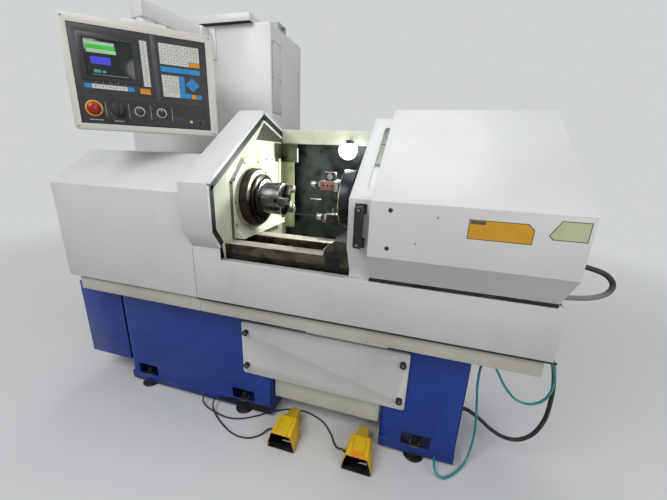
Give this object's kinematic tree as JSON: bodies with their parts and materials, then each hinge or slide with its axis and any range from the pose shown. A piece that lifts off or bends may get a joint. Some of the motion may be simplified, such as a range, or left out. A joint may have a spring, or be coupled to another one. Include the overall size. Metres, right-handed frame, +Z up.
{
  "type": "cnc turning lathe",
  "caption": "Flat-bed turning lathe with a sheet-metal enclosure, sliding door, tool turret, swivelling control pendant, rear cabinet and foot switches on a blue base",
  "frame": {"origin": "on the floor, under the middle of the machine's box", "axes": "+Z up, +X to the operator's right along the spindle line, -Y towards the operator"},
  "size_m": [3.1128, 1.4, 2.3753],
  "materials": {
    "white_paint": "satin enamel",
    "cream_paint": "satin enamel",
    "blue_paint": "gloss enamel, scuffed",
    "green_paint": "pale green enamel",
    "dark_enamel": "dark grey enamel",
    "yellow_paint": "worn enamel",
    "casting": "oiled, ways ground",
    "ground_steel": "turned and ground",
    "dark_steel": "blacked",
    "chrome_metal": "plated",
    "aluminium_metal": "ribbed plate",
    "black_plastic": "moulded",
    "red_plastic": "moulded",
    "screen": "display glass, lit",
    "rubber": "dull",
    "tube_plastic": "flexible tube",
    "window": "clear sheet"
  },
  "bodies": {
    "machine": {"left_plinth": "blue_paint", "right_plinth": "blue_paint", "motor_guard": "blue_paint", "spindle_motor": "dark_enamel", "drive_belt": "rubber", "bed": "casting", "coolant_tray": "cream_paint", "front_apron": "white_paint", "headstock_cover": "white_paint", "guard_cowl": "white_paint", "door_seal": "rubber", "end_wall": "green_paint", "rear_guard": "green_paint", "fixed_cover": "white_paint", "headstock": "casting", "front_bearing": "ground_steel", "rear_bearing": "ground_steel", "z_motor": "black_plastic", "access_panel": "white_paint", "cabinet": "white_paint", "cabinet_lid": "white_paint", "pendant_arm": "white_paint", "work_lamp": "black_plastic", "left_foot_switch": "yellow_paint", "right_foot_switch": "yellow_paint", "left_pedal_cable": "rubber", "right_pedal_cable": "rubber", "coolant_tube": "tube_plastic", "drain_hose": "rubber", "conduit": "rubber"},
    "door": {"sliding_door": "white_paint", "door_window": "window", "door_handle": "black_plastic"},
    "spindle": {"spindle": "dark_steel", "spindle_pulley": "casting", "chuck_body": "ground_steel"},
    "jaw_1": {"jaw_1": "ground_steel"},
    "jaw_2": {"jaw_2": "ground_steel"},
    "jaw_3": {"jaw_3": "ground_steel"},
    "motor_rotor": {"motor_pulley": "casting"},
    "z_screw": {"z_screw": "ground_steel"},
    "carriage": {"saddle": "casting", "x_motor": "black_plastic"},
    "x_screw": {"x_screw": "ground_steel"},
    "cross_slide": {"cross_slide": "casting", "turret_body": "dark_enamel"},
    "turret": {"turret_disc": "dark_steel", "boring_holder": "dark_steel"},
    "chip_drawer": {"chip_drawer": "cream_paint"},
    "cabinet_door": {"cabinet_door": "white_paint"},
    "pendant": {"pendant_housing": "cream_paint", "pendant_panel": "black_plastic", "pendant_screen": "screen"},
    "emergency_stop": {"emergency_stop": "red_plastic"},
    "mode_knob": {"mode_knob": "black_plastic"},
    "feed_dial": {"feed_dial": "black_plastic"},
    "speed_dial": {"speed_dial": "black_plastic"},
    "key_switch": {"key_switch": "chrome_metal"},
    "left_treadle": {"left_treadle": "aluminium_metal"},
    "right_treadle": {"right_treadle": "aluminium_metal"}
  },
  "joints": [
    {"name": "door_slide", "type": "slide", "parent": "machine", "child": "door", "axis": [1, 0, 0], "range_m": [-0.648, 0]},
    {"name": "spindle_turn", "type": "hinge", "parent": "machine", "child": "spindle", "pos_m": [-0.065, -0.27, 1.308], "axis": [1, 0, 0], "continuous": true},
    {"name": "jaw_1_slide", "type": "slide", "parent": "spindle", "child": "jaw_1", "axis": [0, 0.5, 0.866], "range_m": [-0.004, 0.006]},
    {"name": "jaw_2_slide", "type": "slide", "parent": "spindle", "child": "jaw_2", "axis": [0, 0.5, -0.866], "range_m": [-0.004, 0.006]},
    {"name": "jaw_3_slide", "type": "slide", "parent": "spindle", "child": "jaw_3", "axis": [0, -1, 0], "range_m": [-0.004, 0.006]},
    {"name": "motor_turn", "type": "hinge", "parent": "machine", "child": "motor_rotor", "pos_m": [-1.05, -0.27, 0.4], "axis": [1, 0, 0], "continuous": true},
    {"name": "carriage_slide", "type": "slide", "parent": "machine", "child": "carriage", "axis": [1, 0, 0], "range_m": [-0.065, 0.3]},
    {"name": "z_screw_turn", "type": "hinge", "parent": "machine", "child": "z_screw", "pos_m": [0.5, -0.41, 0.985], "axis": [1, 0, 0], "continuous": true},
    {"name": "cross_slide_travel", "type": "slide", "parent": "carriage", "child": "cross_slide", "axis": [0, 1, 0], "range_m": [-0.1, 0.02]},
    {"name": "x_screw_turn", "type": "hinge", "parent": "carriage", "child": "x_screw", "pos_m": [0.622, -0.3, 1.16], "axis": [0, 1, 0], "continuous": true},
    {"name": "turret_index", "type": "hinge", "parent": "cross_slide", "child": "turret", "pos_m": [0.42, -0.1, 1.308], "axis": [1, 0, 0], "continuous": true},
    {"name": "drawer_slide", "type": "slide", "parent": "machine", "child": "chip_drawer", "axis": [0, -1, 0], "range_m": [0, 0.4]},
    {"name": "cabinet_door_swing", "type": "hinge", "parent": "machine", "child": "cabinet_door", "pos_m": [-0.225, 0.7, 1.2], "axis": [0, 0, -1], "range_deg": [0, 110]},
    {"name": "pendant_swivel", "type": "hinge", "parent": "machine", "child": "pendant", "pos_m": [-0.75845, -0.23979, 2.15], "axis": [0, 0, 1], "range_deg": [-45, 45]},
    {"name": "emergency_stop_press", "type": "slide", "parent": "pendant", "child": "emergency_stop", "axis": [-0.6257, 0.7782, -0.0541], "range_m": [0, 0.0035], "stiffness_N_per_m": 800, "springref_m": -0.001},
    {"name": "mode_knob_turn", "type": "hinge", "parent": "pendant", "child": "mode_knob", "pos_m": [-0.68716, -0.54869, 1.72607], "axis": [0.6257, -0.7782, 0.0541], "range_deg": [-120, 120]},
    {"name": "feed_dial_turn", "type": "hinge", "parent": "pendant", "child": "feed_dial", "pos_m": [-0.61468, -0.49042, 1.72607], "axis": [0.6257, -0.7782, 0.0541], "range_deg": [-135, 135]},
    {"name": "speed_dial_turn", "type": "hinge", "parent": "pendant", "child": "speed_dial", "pos_m": [-0.53752, -0.42838, 1.72607], "axis": [0.6257, -0.7782, 0.0541], "range_deg": [-135, 135]},
    {"name": "key_switch_turn", "type": "hinge", "parent": "pendant", "child": "key_switch", "pos_m": [-0.38985, -0.31202, 1.69212], "axis": [0.6257, -0.7782, 0.0541], "range_deg": [0, 90]},
    {"name": "left_treadle_press", "type": "hinge", "parent": "machine", "child": "left_treadle", "pos_m": [0.233, -0.553, 0.036], "axis": [1, 0, 0], "range_deg": [0, 7], "stiffness_Nm_per_rad": 6, "springref_deg": -8.59},
    {"name": "right_treadle_press", "type": "hinge", "parent": "machine", "child": "right_treadle", "pos_m": [0.653, -0.553, 0.036], "axis": [1, 0, 0], "range_deg": [0, 7], "stiffness_Nm_per_rad": 6, "springref_deg": -8.59}
  ],
  "couplings": [
    {"joint": "jaw_2_slide", "follows": "jaw_1_slide", "ratio": 1},
    {"joint": "jaw_3_slide", "follows": "jaw_1_slide", "ratio": 1},
    {"joint": "motor_turn", "follows": "spindle_turn", "ratio": 1.5},
    {"joint": "z_screw_turn", "follows": "carriage_slide", "rad_per_m": -628.32},
    {"joint": "x_screw_turn", "follows": "cross_slide_travel", "rad_per_m": -1256.6}
  ]
}
